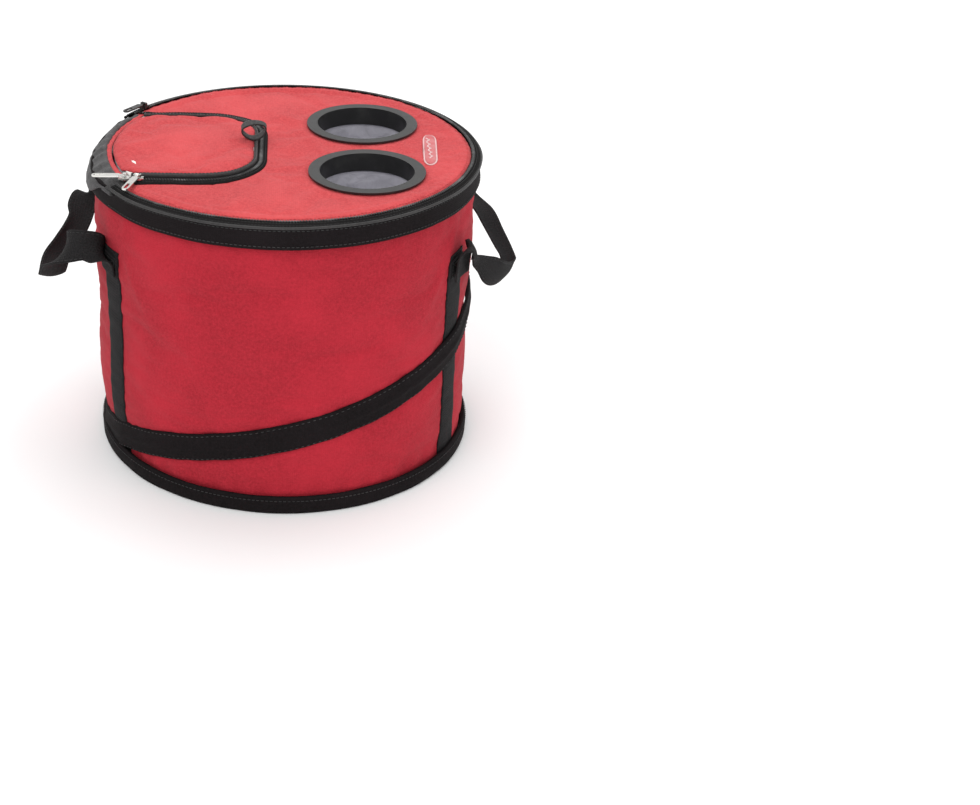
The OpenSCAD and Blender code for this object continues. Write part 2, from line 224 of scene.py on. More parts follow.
WALL_CLOTH_PAINTED_SHADE = cloth_material("red_wall_cloth_painted_shade", (0.30, 0.010, 0.020), (0.46, 0.020, 0.036))
TOP_CLOTH_PAINTED_LIGHT = cloth_material("red_top_cloth_painted_light", (0.40, 0.034, 0.040), (0.60, 0.075, 0.080), sheen=0.06)
BLACK = cloth_material("black_cloth", (0.004, 0.003, 0.003), (0.012, 0.009, 0.010), rough=0.75, sheen=0.0,
                       specular=0.08)
TAPE = cloth_material("zip_tape_cloth", (0.004, 0.004, 0.004), (0.012, 0.011, 0.011), rough=0.8,
                      thread=0.7, sheen=0.0, diagonal=True,
                      specular=0.08)
GREY = cloth_material("hinge_cloth", (0.030, 0.028, 0.028), (0.085, 0.083, 0.085), rough=0.7, sheen=0.1)
BINDING = cloth_material("binding_cloth", (0.012, 0.011, 0.011), (0.045, 0.043, 0.043), rough=0.6,
                         thread=0.8, sheen=0.1)
WEBBING = cloth_material("webbing", (0.004, 0.004, 0.004), (0.026, 0.024, 0.025), rough=0.8, thread=1.5,
                         mottle=1.3, bump=0.9,
                         sheen=0.0, specular=0.12)
THREAD = cloth_material("thread", (0.012, 0.012, 0.012), (0.05, 0.05, 0.05), rough=0.7, thread=0.3,
                        mottle=0.6)
COIL = solid_material("zip_coil", (0.025, 0.025, 0.025), rough=0.35, wear=(0.30, 0.30, 0.30), wear_from=0.5)
NICKEL = solid_material("nickel", (0.72, 0.71, 0.68), rough=0.22, metal=1.0, wear=(0.42, 0.40, 0.37),
                        grain=1500.0)
ENAMEL = solid_material("black_enamel", (0.012, 0.012, 0.012), rough=0.35, wear=(0.10, 0.10, 0.10),
                        wear_from=0.55)
STEEL = solid_material("spring_steel", (0.45, 0.45, 0.46), rough=0.4, metal=1.0, wear=(0.25, 0.22, 0.2))
PLASTIC = solid_material("ring_plastic", (0.008, 0.008, 0.008), rough=0.42, wear=(0.03, 0.03, 0.028),
                         wear_from=0.5)
BOARD = solid_material("pressed_board", (0.05, 0.048, 0.045), rough=0.8, wear=(0.12, 0.11, 0.10))
FOAM = solid_material("foam", (0.80, 0.80, 0.76), rough=0.9, wear=(0.62, 0.61, 0.56), grain=700.0, bump=0.6)
LINING = film_material("lining_film", (0.62, 0.62, 0.66))
WELL = film_material("well_film", (0.50, 0.49, 0.54), crease=80.0, rough=0.35)
BADGE = solid_material("badge_rubber", (0.50, 0.06, 0.07), rough=0.45, wear=(0.62, 0.30, 0.30), wear_from=0.4)
BADGE_EDGE = solid_material("badge_edge", (0.72, 0.48, 0.48), rough=0.5, wear=(0.8, 0.7, 0.7))


# ---------------------------------------------------------------- mesh helpers

def finish_object(name, mesh, material):
    made = bpy.data.objects.new(name, mesh)
    bpy.context.scene.collection.objects.link(made)
    mesh.materials.append(material)
    mesh.polygons.foreach_set("use_smooth", [True] * len(mesh.polygons))
    return made


def mesh_from(name, points, faces, material, uvs=None):
    mesh = bpy.data.meshes.new(name)
    mesh.from_pydata([Vector(p) * MM for p in points], [], faces)
    layer = mesh.uv_layers.new(name="UVMap")
    if uvs is not None:
        corners = np.empty(len(mesh.loops), int)
        mesh.loops.foreach_get("vertex_index", corners)
        layer.data.foreach_set("uv", (np.array(uvs, float)[corners] * MM).ravel())
    mesh.update()
    return finish_object(name, mesh, material)


def sheet_grid(name, point, us, vs, material, closed=False, uv=None):
    """A surface through point(u, v) at every u and v. uv gives each point's place on the cloth."""
    count_u, count_v = len(us), len(vs)
    points = [point(u, v) for u in us for v in vs]
    uvs = [uv(u, v) if uv else (u, v) for u in us for v in vs]
    faces = []
    for i in range(count_u if closed else count_u - 1):
        for k in range(count_v - 1):
            a = i * count_v + k
            b = (i + 1) % count_u * count_v + k
            faces.append((a, b, b + 1, a + 1))
    return mesh_from(name, points, faces, material, uvs)


def thicken(obj, thickness, offset=-1.0):
    solid = obj.modifiers.new("thickness", "SOLIDIFY")
    solid.thickness = thickness * MM
    solid.offset = offset


def spread(low, high, count):
    return [low + (high - low) * i / (count - 1) for i in range(count)]


def wrinkle(x, y, z, size):
    return noise.noise(Vector((x, y, z)) / size)


def ring_point(angle, r, z):
    a = math.radians(angle)
    return (r * math.cos(a), r * math.sin(a), z)


def lathe(name, profile, material, centre=(0, 0), segments=160, angles=(0, 360), ripple=None):
    """Turns a profile of (r, z) round an upright axis. ripple(angle, k) moves a profile point by (dr, dz)."""
    whole = angles[1] - angles[0] >= 360
    turns = spread(*angles, segments + 1)
    turns = turns[:-1] if whole else turns
    lengths = [0.0]
    for (r0, z0), (r1, z1) in zip(profile, profile[1:]):
        lengths.append(lengths[-1] + math.hypot(r1 - r0, z1 - z0))

    def point(angle, k):
        r, z = profile[k]
        dr, dz = ripple(angle, k) if ripple else (0, 0)
        x, y, _ = ring_point(angle, r + dr, 0)
        return (centre[0] + x, centre[1] + y, z + dz)

    return sheet_grid(
        name, point, turns, list(range(len(profile))), material, closed=whole,
        uv=lambda angle, k: (math.radians(angle) * profile[0][0], lengths[k]),
    )


def merged(name, parts, material):
    """One mesh made of many small ones, each a list of points and a list of faces."""
    points, faces = [], []
    for part_points, part_faces in parts:
        start = len(points)
        points += part_points
        faces += [tuple(start + i for i in face) for face in part_faces]
    return mesh_from(name, points, faces, material, [(p[0] + p[2], p[1]) for p in points])


def block(centre, along, up, size):
    """A small block with cut corners. size is its length, width and height."""
    along = Vector(along).normalized()
    up = Vector(up).normalized()
    side = up.cross(along).normalized()
    length, width, height = (0.5 * s for s in size)
    points = []
    for u, scale in ((-1.0, 0.6), (-0.7, 1.0), (0.7, 1.0), (1.0, 0.6)):
        for a, b in ((-1, -0.6), (-0.6, -1), (0.6, -1), (1, -0.6), (1, 0.6), (0.6, 1), (-0.6, 1), (-1, 0.6)):
            points.append(Vector(centre) + along * u * length + side * a * width * scale
                          + up * b * height * scale)
    faces = [tuple(range(7, -1, -1)), tuple(range(24, 32))]
    for ring in range(3):
        for k in range(8):
            a, b = ring * 8 + k, ring * 8 + (k + 1) % 8
            faces.append((a, b, b + 8, a + 8))
    return points, faces


def stitches(name, path, normals, body, pitch=4.2, length=2.8, thick=0.7):
    """A row of stitches along a list of points, standing a little proud of the cloth."""
    parts = []
    travelled, due = 0.0, 0.0
    for here, there, up in zip(path, path[1:], normals):
        here, there = Vector(here), Vector(there)
        step = (there - here).length
        while step > 0 and due <= travelled + step:
            middle = here.lerp(there, (due - travelled) / step)
            parts.append(block(middle, there - here, up, (length, thick, thick * 0.8)))
            due += pitch
        travelled += step
    made = merged(name, parts, THREAD)
    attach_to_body(made, body)
    return made


# ---------------------------------------------------------------- the soft shape of the wall and rim

def bump_at(value, middle, width):
    return math.exp(-(((value - middle) / width) ** 2))


def smooth_step(low, high, value):
    t = min(max((value - low) / (high - low), 0.0), 1.0)
    return t * t * (3 - 2 * t)


def rim_drop(angle):
    """How far the soft rim sags below level on each side of the hinge."""
    turned = angle % 360
    return 3.5 * bump_at(turned, 213, 22) + 2.5 * bump_at(turned, 170, 18)


def rim_push(angle):
    """How far the rim is pushed out of round beside the hinge: out at the front, in at the back."""
    turned = angle % 360
    return 3.0 * bump_at(turned, 197, 10) - 1.5 * bump_at(turned, 167, 14)


def rim_lean(angle, z):
    """The share of the rim's push that the wall follows at a height."""
    return rim_push(angle) * (z / BAND_Z) ** 3


def spiral_z(angle):
    """Height of the spiral band's middle at an angle from -180 to 180."""
    return SPIRAL_FRONT_Z + SPIRAL_RISE * (angle + 91)


def wall_r(angle, z):
    """Outside radius of the slack red wall."""
    x, y, _ = ring_point(angle, WALL_R, 0)
    turned = (angle + 180) % 360 - 180
    height = min(max(z / BAND_Z, 0.0), 1.0)
    slack = 1.0 * math.sin(math.pi * min(max((z - 18) / 254, 0), 1))
    soft = 1.8 * wrinkle(x, y, z * 1.6, 70) + 0.8 * wrinkle(x, y, z * 2.5, 26)
    gather = bump_at(z, BAND_Z, 22) + bump_at(z, 18, 16)
    pleats = 0.5 * gather * math.sin(math.radians(turned) * 46 + 3 * wrinkle(x, y, 0, 60))
    crease = 0.0
    for crease_angle, crease_z, lean in CREASES:
        off = (z - crease_z) * 0.7 + (turned - crease_angle) * lean * 3
        along = (z - crease_z) - (turned - crease_angle) * lean * 2
        crease += 1.1 * bump_at(off, 0, 7) * bump_at(along, 0, 55)
    leaning = rim_push(angle) * height ** 3 + 3.0 * bump_at(angle % 360, 190, 24) * bump_at(z, 225, 50)
    bulge = 3.5 * bump_at(angle % 360, 192, 28) * bump_at(z, 75, 55)
    hollow = 2.5 * bump_at(turned, 0, 30) * bump_at(z, 110, 70)
    leaning += bulge - hollow
    return WALL_R - 1.4 + slack + soft + pleats + crease + leaning - 1.2 * bump_at(z, spiral_z(turned), 20)


def attach(obj, body, slot, *nodes):
    """Rides a body and stands for CAD nodes. slot is not used."""
    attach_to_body(obj, body)
    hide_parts(*nodes)


def squashes(obj, node):
    """Rides the base on a mesh of its own and stands for CAD nodes."""
    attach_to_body(obj, "base")
    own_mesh(obj)
    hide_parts(*node)


def settle(obj, is_seam, pressure, cap, spare=0.0, frames=14):
    """Lets cloth settle over the foam that pushes it, held at its seams, and keeps the settled shape."""
    mesh = obj.data
    seams = obj.vertex_groups.new(name="seams")
    seams.add([v.index for v in mesh.vertices if is_seam(*(v.co / MM))], 1.0, "REPLACE")
    before = [v.co.copy() for v in mesh.vertices]
    cloth = obj.modifiers.new("cloth", "CLOTH")
    settings = cloth.settings
    settings.quality = 6
    settings.mass = 0.1
    settings.tension_stiffness = 12
    settings.compression_stiffness = 12
    settings.shear_stiffness = 6
    settings.bending_stiffness = 0.3
    settings.vertex_group_mass = "seams"
    settings.use_pressure = True
    settings.uniform_pressure_force = pressure
    settings.shrink_min = -spare
    settings.effector_weights.gravity = 0
    cloth.collision_settings.use_collision = False
    cloth.point_cache.frame_start = 1
    cloth.point_cache.frame_end = frames
    for step in range(1, frames + 1):
        bpy.context.scene.frame_set(step)
    settled = obj.evaluated_get(bpy.context.evaluated_depsgraph_get())
    after = [v.co.copy() for v in settled.data.vertices]
    obj.modifiers.remove(cloth)
    obj.vertex_groups.remove(seams)
    for vertex, start, end in zip(mesh.vertices, before, after):
        move = end - start
        vertex.co = start + move * min(1.0, cap * MM / max(move.length, 1e-9))
    bpy.context.scene.frame_set(1)


def make_wall():
    wall = sheet_grid(
        "red_wall", lambda a, z: ring_point(a, wall_r(a, z), z), spread(0, 358, 180), spread(2, 286, 72), WALL_CLOTH_PAINTED_SHADE,
        closed=True, uv=lambda a, z: (math.radians(a) * WALL_R, z),
    )

    def held(x, y, z):
        angle = math.degrees(math.atan2(y, x))
        at_strap = any(abs((angle - strap_angle(name, z) + 180) % 360 - 180) < 5 for name in STRAP_ANGLES)
        at_band = abs(z - spiral_z(angle)) < 13
        return z < 20 or z > BAND_Z - 2 or at_band or (at_strap and z < 232)

    settle(wall, held, pressure=1.5, cap=5, spare=0.012)
    thicken(wall, 1.2)
    squashes(wall, ["outer_wall"])

    def foam_point(a, z):
        return ring_point(a, FOAM_R + rim_lean(a, z) + 0.4 * wrinkle(a, z, 0, 30), z)

    foam = sheet_grid("foam_wall", foam_point, spread(0, 357, 120), spread(12, 283, 20), FOAM, closed=True)
    thicken(foam, 3.0)
    squashes(foam, ["wall_foam"])

    def lining_point(a, z):
        x, y, _ = ring_point(a, 172, 0)
        r = LINING_R + rim_lean(a, z) + 1.3 * wrinkle(x, y, z, 34) + 0.6 * wrinkle(x, y, z * 2, 12)
        return ring_point(a, r, z)

    lining = sheet_grid("lining_film_wall", lining_point, spread(0, 358, 180), spread(11.6, 284, 60),
                        LINING, closed=True)
    thicken(lining, 0.5)
    squashes(lining, ["lining_wall"])


def strap_angle(name, z):
    """The front left strap leans a little towards the hinge as it rises."""
    lean = {"left_front": -1.5}.get(name, 0.0)
    return STRAP_ANGLES[name] + lean * smooth_step(70, 225, z)


def make_straps():
    half = math.degrees(WEBBING_W / 2 / WALL_R)
    for name in STRAP_ANGLES:

        def strap_point(across, z, name=name):
            edge = strap_angle(name, z) + across * half + 0.5 * wrinkle(STRAP_ANGLES[name], 0, z, 45)
            turned = (edge + 180) % 360 - 180
            under_band = bump_at(z, spiral_z(turned), 18)
            r = wall_r(edge, z) + 1.7 - 0.6 * abs(across) ** 4 - 0.5 * under_band
            return ring_point(edge, r, z)

        strap = sheet_grid(
            "webbing_strap_" + name, strap_point, spread(-1, 1, 13), spread(4, 226, 120), WEBBING,
            uv=lambda across, z: (across * WEBBING_W / 2, z),
        )
        thicken(strap, 1.3)
        squashes(strap, ["strap_" + name])


def make_spiral():
    """The band, which keeps its width as the bag collapses, is made in short lengths.
    A length whose share of the height is the same at both ends rides the base or the rim; the others stay
    where they are."""
    low_z, high_z = BASE_BAND_H - 4, BAND_Z + 3
    first = -91 + (low_z - SPIRAL_W / 2 - SPIRAL_FRONT_Z) / SPIRAL_RISE
    last = -91 + (high_z + SPIRAL_W / 2 - SPIRAL_FRONT_Z) / SPIRAL_RISE
    count = 24
    step = (last - first) / count
    rows = [-1.0, -0.99, -0.9, -0.7, -0.5, -0.3, -0.15, 0.0, 0.15, 0.3, 0.5, 0.7, 0.9, 0.99, 1.0]

    def share(angle):
        return min(max(spiral_z(angle) / BAND_Z, 0.0), 1.0)

    def inverse_smooth(w):
        low, high = 0.0, 1.0
        for _ in range(40):
            middle = (low + high) / 2
            if smooth_step(0, 1, middle) < w:
                low = middle
            else:
                high = middle
        return (low + high) / 2

    def band_point(angle, t):
        z = min(max(spiral_z(angle) + t * SPIRAL_W / 2, low_z), high_z)
        puff = 0.8 * (1 - t * t) + 1.5 * bump_at(t, 0.05, 0.2) + 0.5 * wrinkle(angle, t * 3, 0, 4)
        tuck = 2.6 * smooth_step(0.985, 1.0, abs(t))
        waver = 0.7 * wrinkle(angle, 0, t, 6)
        offsets = [(angle - middle + 180) % 360 - 180 for middle in STRAP_ANGLES.values()]
        over_strap = 1.2 * sum(bump_at(offset, 0, 6) for offset in offsets)
        r = WALL_R + 1.9 + puff - tuck + over_strap + rim_lean(angle, z)
        return ring_point(angle, r, z + waver)

    for i in range(count):
        a0, a1 = first + i * step, first + (i + 1) * step
        piece = sheet_grid(
            f"spiral_band_{i:02d}", band_point, spread(a0 - 0.02, a1 + 0.02, 13), rows, BLACK,
            uv=lambda a, t: (math.radians(a) * WALL_R, t * SPIRAL_W / 2),
        )
        parts = []
        for t in (-0.86, 0.86):
            for k in range(9):
                a = a0 + step * (k + 0.5) / 9
                here, there = Vector(band_point(a - 0.4, t)), Vector(band_point(a + 0.4, t))
                if low_z + 1 < here.z < high_z - 1:
                    out = Vector(ring_point(a, 1, 0))
                    parts.append(block((here + there) / 2 + out * 0.2, there - here, out, (2.6, 0.7, 0.6)))
        pieces = [piece]
        if parts:
            pieces.append(merged(f"spiral_stitches_{i:02d}", parts, THREAD))
        p0, p1 = Vector(ring_point(a0, WALL_R, 0)), Vector(ring_point(a1, WALL_R, 0))
        t0, t1 = inverse_smooth(share(a0)), inverse_smooth(share(a1))
        for made in pieces:
            if t1 - t0 < 1e-4:
                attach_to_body(made, "base" if t0 < 0.5 else "rim")
            else:
                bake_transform(made)
        if i == 0:
            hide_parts("spiral_band", "spring_coil")


def make_base():
    def ripple(angle, k):
        x, y, _ = ring_point(angle, 185, 0)
        return (0.7 * wrinkle(x, y, k * 3, 30), (0.6 * wrinkle(x, y, 50, 45) if k > 3 else 0.0))

    profile = [
        (178.5, 0.3), (182.6, 0.05), (184.0, 0.5), (184.9, 2.2), (185.2, 6), (185.3, 10),
        (184.9, 14.5), (184.3, 17.0), (183.2, 17.9), (181.2, 17.4), (179.0, 15.0),
    ]
    band = lathe("base_hem_band", profile, BLACK, ripple=ripple, segments=220)
    attach(band, "base", "black_polyester", "base_band")
    path = [ring_point(a, 185.2, 14.2) for a in spread(0, 360, 361)]
    stitches("base_stitches", path, [ring_point(a, 1, 0) for a in spread(0, 360, 361)], "base")


# ---------------------------------------------------------------- rim

def make_rim():
    def ripple(angle, k):
        x, y, _ = ring_point(angle, 185, 0)
        push = rim_push(angle)
        return (push + 0.6 * wrinkle(x, y, k * 4, 34), -rim_drop(angle) * (0.3 + 0.03 * k)
                + 0.5 * wrinkle(x, y, 90, 55))

    profile = [
        (182.2, 272.2), (183.6, 270.8), (185.2, 271.2), (185.9, 273.5), (186.0, 278), (185.5, 284),
        (185.5, 288.5), (185.9, 290.6), (184.6, 291.6), (182.6, 291.4), (181.8, 289),
    ]
    band = lathe("top_hem_band", profile, BLACK, ripple=ripple, segments=220)
    attach(band, "rim", "black_polyester", "top_band")

    cord = [(186.2 + 1.4 * math.cos(t), 292.4 + 1.4 * math.sin(t)) for t in spread(0, 2 * math.pi, 11)]
    piping = lathe("rim_cord", cord, BINDING,
                   ripple=lambda a, k: ripple(a, 8), segments=220, angles=(-151, 151))
    attach(piping, "rim", "grey_piping", "rim_piping")

    def mouth_ripple(angle, k):
        return (rim_push(angle) + 0.3 * wrinkle(angle, k, 0, 5), -rim_drop(angle) * 0.4)

    mouth = [(172.4, 284.8), (172.2, 286.2), (174.0, 287.2), (179.0, 287.3), (181.0, 286.4), (181.2, 284.8)]
    trim = lathe("mouth_binding", mouth, BLACK, ripple=mouth_ripple)
    attach(trim, "rim", "black_polyester", "mouth_trim")

    def tape_ripple(angle, k):
        fade = smooth_step(184, 186, tape[k][0])
        return (0.2 * wrinkle(angle, k, 0, 8) + fade * rim_push(angle), -rim_drop(angle) * 0.9
                + 0.25 * wrinkle(angle, 3, 0, 7))

    tape = [(184.4, 291.6), (186.0, 293.0), (185.7, 294.0), (184.2, 294.9), (182.0, 295.4), (179.6, 295.7)]
    rim_tape = lathe("rim_tape", tape, TAPE, segments=200, angles=(-ZIP_HALF_ANGLE, ZIP_HALF_ANGLE),
                     ripple=tape_ripple)
    thicken(rim_tape, 0.7)
    attach(rim_tape, "rim", "zip_tape", "rim_zip_tape")
    turns = spread(-ZIP_HALF_ANGLE, ZIP_HALF_ANGLE, 301)
    for row, (r, z) in enumerate(((185.3, 294.5), (182.2, 295.7))):
        path = [ring_point(a, r, z - rim_drop(a) * 0.9) for a in turns]
        stitches(f"rim_tape_stitches_{row}", path, [(0, 0, 1)] * 301, "rim", pitch=3.0, length=2.0, thick=0.5)
    for name, k in (("low", 3), ("high", 6)):
        path = []
        for a in turns:
            dr, dz = ripple(a, k)
            path.append(ring_point(a, profile[k][0] + dr + 0.3, profile[k][1] + dz + 1.0))
        stitches("top_band_stitches_" + name, path, [ring_point(a, 1, 0) for a in turns], "rim")


def zip_teeth(name, frames, side, body, node):
    """Coil turns along one side of a zip. frames are (point, outward) along the chain."""
    parts = []
    for i, (point, outward) in enumerate(frames):
        if i % 2 != side:
            continue
        reach = Vector(outward) * (0.6 if side else -0.6)
        parts.append(block(Vector(point) + reach, outward, (0, 0, 1), (2.2, 1.0, 1.3)))
    made = merged(name, parts, COIL)
    attach(made, body, "zip_coil", node)


def make_main_zip():
    pitch = math.degrees(ZIP_PITCH / 179)
    frames = []
    angle = -ZIP_HALF_ANGLE + 1
    while angle < ZIP_HALF_ANGLE - 1:
        a = math.radians(angle)
        point = ring_point(angle, ZIP_R, ZIP_Z - rim_drop(angle) * 0.9)
        frames.append((point, (math.cos(a), math.sin(a), 0)))
        angle += pitch
    zip_teeth("rim_teeth", frames, 1, "rim", "rim_zip_teeth")
    zip_teeth("lid_teeth", frames, 0, "lid", "lid_zip_teeth")


# ---------------------------------------------------------------- lid

def lid_height(x, y):
    """Top of the padded lid: level round the cup wells, softly dished, and sagging beside the hinge."""
    r = math.hypot(x, y)
    angle = math.degrees(math.atan2(y, x))
    share = min(r / LID_R, 1.0)
    near_cup = min(math.hypot(x - CUP_X, y - CUP_Y), math.hypot(x - CUP_X, y + CUP_Y))
    away = smooth_step(52, 76, near_cup)
    dish = LID_TOP_Z + (1.4 * share ** 3 - 0.8) * away
    seam = 1.2 * bump_at(r, 168, 4.5) - 1.3 * bump_at(r, LID_R, 2.5)
    pucker = 0.35 * bump_at(r, 172, 7) * math.sin(math.radians(angle) * 85)
    soft = (1.1 * wrinkle(x, y, 0, 52) + 0.35 * wrinkle(x, y, 9, 16)) * smooth_step(54, 70, near_cup)
    sag = rim_drop(angle) * smooth_step(150, 184, r)
    cup_seam = -0.8 * bump_at(near_cup, 55, 3)
    return dish + seam + pucker + soft + cup_seam - sag


def flap_path(grow, left_x, per_side=70, per_corner=30, per_end=30):
    """Points along the U at an offset, from the front left to the back left, each with its outward direction.
    The bands are narrower across the free end, by END_SHARE."""
    bend_x, bend_y = FLAP_END_X - FLAP_CORNER_R, FLAP_HALF_W - FLAP_CORNER_R
    reach = FLAP_CORNER_R + grow * END_SHARE
    width = FLAP_CORNER_R + grow
    found = []
    for x in spread(left_x, bend_x, per_side):
        found.append(((x, -FLAP_HALF_W - grow), (0.0, -1.0)))
    for a in spread(-math.pi / 2, 0, per_corner)[1:]:
        found.append(((bend_x + reach * math.cos(a), -bend_y + width * math.sin(a)),
                      (math.cos(a), math.sin(a))))
    for y in spread(-bend_y, bend_y, per_end)[1:]:
        found.append(((bend_x + reach, y), (1.0, 0.0)))
    for a in spread(0, math.pi / 2, per_corner)[1:]:
        found.append(((bend_x + reach * math.cos(a), bend_y + width * math.sin(a)),
                      (math.cos(a), math.sin(a))))
    for x in spread(bend_x, left_x, per_side)[1:]:
        found.append(((x, FLAP_HALF_W + grow), (0.0, 1.0)))
    return found


def even_path(grow, left_x, pitch):
    """The same U in equal steps."""
    rows = flap_path(grow, left_x, 200, 80, 90)
    places = np.array([(*p, *n) for p, n in rows])
    run = np.concatenate([[0], np.cumsum(np.hypot(*np.diff(places[:, :2], axis=0).T))])
    at = np.arange(0, run[-1], pitch)
    columns = [np.interp(at, run, places[:, k]) for k in range(4)]
    return [((a, b), (c, d)) for a, b, c, d in np.stack(columns, axis=1)]


def flap_depth(x, y):
    """Distance of a point inside the flap from its U-shaped edge."""
    bend_x, bend_y = FLAP_END_X - FLAP_CORNER_R, FLAP_HALF_W - FLAP_CORNER_R
    if x < bend_x:
        return FLAP_HALF_W - abs(y)
    return FLAP_CORNER_R - math.hypot(x - bend_x, max(abs(y) - bend_y, 0.0))


def left_arc(r, half_w, count=40):
    a = math.asin(half_w / r)
    return [(-r * math.cos(t), r * math.sin(t)) for t in spread(a, -a, count)]


def panel(name, outline, holes, height, material, spacing=4.0):
    """A flat-cut panel of cloth with holes, lying at height(x, y), its edges on the outlines."""
    points, edges = [], []
    for loop in [outline] + holes:
        start = len(points)
        points += [Vector(p) for p in loop]
        edges += [(start + i, start + (i + 1) % len(loop)) for i in range(len(loop))]
    outer = np.array([tuple(p) for p in outline])
    borders = np.array([tuple(p) for p in points])

    def inside(x, y, loop):
        crossings = 0
        for (x0, y0), (x1, y1) in zip(loop, loop[1:] + loop[:1]):
            if (y0 > y) != (y1 > y) and x < x0 + (y - y0) / (y1 - y0) * (x1 - x0):
                crossings += 1
        return crossings % 2 == 1

    row = 0
    y = outer[:, 1].min() + spacing / 2
    while y < outer[:, 1].max():
        x = outer[:, 0].min() + (spacing / 2 if row % 2 else 0)
        while x < outer[:, 0].max():
            near = ((borders - (x, y)) ** 2).sum(1).min() < (spacing * 0.55) ** 2
            if not near and inside(x, y, outline) and not any(inside(x, y, hole) for hole in holes):
                points.append(Vector((x, y)))
            x += spacing
        y += spacing * 0.87
        row += 1
    flat, _, faces, *_ = delaunay_2d_cdt(points, edges, [], 0, 1e-4)
    kept = []
    for face in faces:
        cx = sum(flat[i].x for i in face) / len(face)
        cy = sum(flat[i].y for i in face) / len(face)
        if inside(cx, cy, outline) and not any(inside(cx, cy, hole) for hole in holes):
            kept.append(tuple(face))
    solid = [(p.x, p.y, height(p.x, p.y)) for p in flat]
    made = mesh_from(name, solid, kept, material, [(p.x, p.y) for p in flat])
    build = bmesh.new()
    build.from_mesh(made.data)
    bmesh.ops.recalc_face_normals(build, faces=build.faces)
    if sum(f.normal.z for f in build.faces) < 0:
        bmesh.ops.reverse_faces(build, faces=build.faces)
    build.to_mesh(made.data)
    build.free()
    return made


def circle_loop(x, y, r, count=64):
    return [(x + r * math.cos(2 * math.pi * i / count), y + r * math.sin(2 * math.pi * i / count))
            for i in range(count)]


def flap_loop(grow, left_r, rounding=0):
    """The closed outline of the flap or of its opening, counter-clockwise, its two left corners rounded."""
    half_w = FLAP_HALF_W + grow
    corner_x = -math.sqrt(left_r ** 2 - half_w ** 2)
    loop = [p for p, _ in flap_path(grow, corner_x, 34, 24, 20)] + left_arc(left_r, half_w)[1:-1]
    points = np.array(loop)
    for _ in range(rounding):
        middle = (np.roll(points, 1, axis=0) + np.roll(points, -1, axis=0)) / 2
        near = np.minimum(np.hypot(*(points - (corner_x, half_w)).T),
                          np.hypot(*(points - (corner_x, -half_w)).T)) < 16
        points[near] = middle[near]
    return [tuple(p) for p in points]


def make_lid():
    outline = circle_loop(0, 0, LID_R, 260)
    wells = [circle_loop(CUP_X, side * CUP_Y, 48.5) for side in (-1, 1)]
    cover = panel("lid_cover_cloth", outline, [flap_loop(8, FLAP_LEFT_R + 1.5)] + wells, lid_height, TOP_CLOTH_PAINTED_LIGHT)

    def held(x, y, z):
        near_cup = min(math.hypot(x - CUP_X, y - CUP_Y), math.hypot(x - CUP_X, y + CUP_Y)) < 56
        near_flap = flap_depth(x, y) > -15 and x < FLAP_END_X + 14
        near_badge = abs(x - 137) < 12 and abs(y + 5) < 46
        return math.hypot(x, y) > 170 or near_cup or near_flap or near_badge

    settle(cover, held, pressure=1.2, cap=2.0, spare=0.012)
    thicken(cover, 1.2)
    attach(cover, "lid", "red_polyester", "lid_cover")

    def lining_height(x, y):
        return 286.4 - 0.4 * rim_drop(math.degrees(math.atan2(y, x))) + 0.8 * wrinkle(x, y, 3, 30)

    filling = circle_loop(0, 0, 171, 160)
    cut_out = [flap_loop(9, FLAP_LEFT_R + 1.5)] + wells
    under = panel("lid_lining_film", filling, cut_out, lining_height, LINING, spacing=8.0)
    thicken(under, 0.6)
    attach(under, "lid", "silver_lining", "lid_lining")

    core = panel("lid_foam_pad", filling, cut_out, lambda x, y: lid_height(x, y) - 4.2, FOAM, spacing=9.0)
    thicken(core, 2.0)
    attach(core, "lid", "white_foam", "lid_foam")

    edge = [(176.2, 295.2), (177.3, 293.8), (176.6, 290.0), (174.0, 287.0), (170.5, 286.0), (170.0, 287.4)]
    binding = lathe("lid_edge_binding", edge, BLACK, segments=200,
                    ripple=lambda a, k: (0.15 * wrinkle(a, k, 0, 6), -rim_drop(a) * (0.9 if k < 3 else 0.3)))
    attach(binding, "lid", "black_polyester", "lid_binding", "lid_zip_tape")
    turns = spread(-ZIP_HALF_ANGLE, ZIP_HALF_ANGLE, 301)
    path = [ring_point(a, 173.6, lid_height(*ring_point(a, 173.6, 0)[:2]) + 0.3) for a in turns]
    made = stitches("lid_edge_stitches", path, [(0, 0, 1)] * 301, "lid", pitch=3.6, length=2.4, thick=0.5)
    # The lid stitches take the red copy painted lighter for the lit top.
    made.data.materials.clear()
    made.data.materials.append(TOP_CLOTH_PAINTED_LIGHT)


def make_cups():
    for name, side in (("front", -1), ("back", 1)):
        centre = (CUP_X, side * CUP_Y)

        def crumple(angle, k, side=side):
            x, y, _ = ring_point(angle, 46, 0)
            share = smooth_step(1, 8, k)
            return (share * 1.4 * wrinkle(x, y, k * 11 + side * 40, 17),
                    share * 1.2 * wrinkle(x, y, k * 5, 14))

        walls = [(46.3, 288.2 - 3.3 * i) for i in range(16)]
        floor = [(43.0 - 6.1 * i, 237.2 - 0.2 * i) for i in range(8)]
        well = lathe("cup_film_" + name, walls + floor, WELL, centre=centre, segments=96, ripple=crumple)
        thicken(well, 0.7, offset=1.0)
        attach(well, "lid", "grey_well", "cup_well_" + name)


